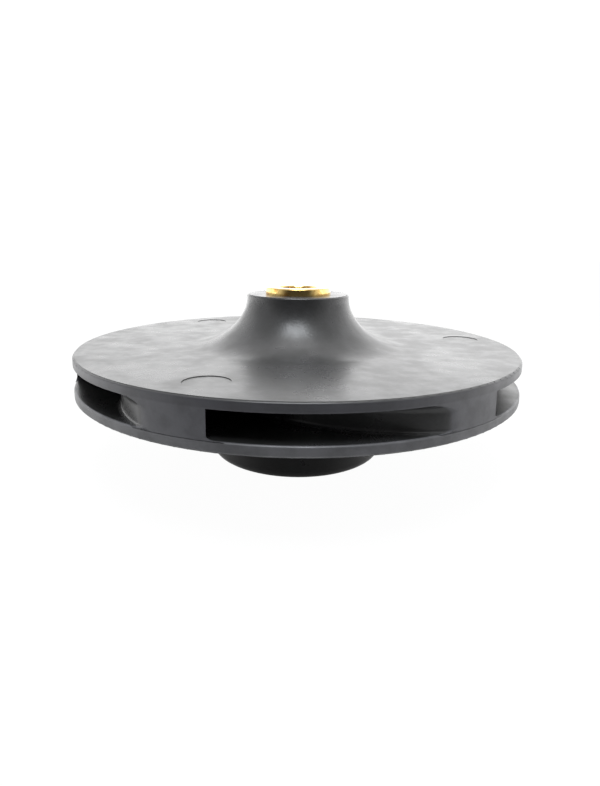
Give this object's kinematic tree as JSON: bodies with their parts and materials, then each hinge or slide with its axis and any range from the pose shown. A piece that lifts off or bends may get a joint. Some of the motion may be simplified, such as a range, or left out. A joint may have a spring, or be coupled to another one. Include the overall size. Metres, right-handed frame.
{
  "type": "pump impeller",
  "caption": "Closed centrifugal pump impeller in dark plastic, hub side up, with backward-curved vanes, a suction neck below and a threaded brass insert.",
  "frame": {"origin": "centre of the suction neck's end face, on the axis of rotation", "axes": "+Z along the axis of rotation, from the suction neck towards the hub and its insert"},
  "size_m": [0.124, 0.124, 0.0487],
  "materials": {
    "body_plastic": "glass-filled moulding, satin",
    "shroud_plastic": "glass-filled moulding, satin",
    "insert_brass": "turned"
  },
  "bodies": {
    "root": {"impeller_body": "body_plastic", "front_shroud": "shroud_plastic", "shaft_insert": "insert_brass"}
  },
  "joints": []
}
